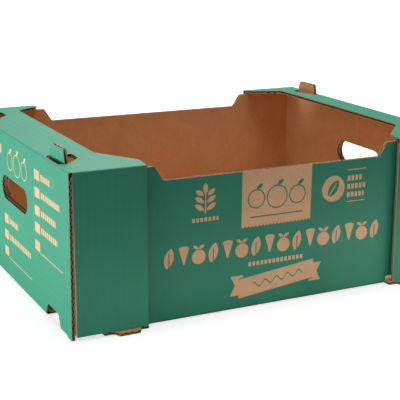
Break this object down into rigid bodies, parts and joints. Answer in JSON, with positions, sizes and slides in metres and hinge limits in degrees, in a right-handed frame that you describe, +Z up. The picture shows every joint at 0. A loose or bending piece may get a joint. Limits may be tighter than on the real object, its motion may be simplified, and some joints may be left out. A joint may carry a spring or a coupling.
{
  "type": "cardboard tray box",
  "caption": "Open-top corrugated stacking tray with hand holes in its ends, folded-in corner ledges, stacking tabs, matching notches and flat feet; printed outside, bare kraft inside",
  "frame": {"origin": "middle of the underside of the bottom panel", "axes": "+X along the long walls, +Y across the tray, +Z up to the open top"},
  "size_m": [0.5, 0.4, 0.1975],
  "materials": {
    "board": "matte"
  },
  "bodies": {
    "root": {"tray": "board"}
  },
  "joints": []
}
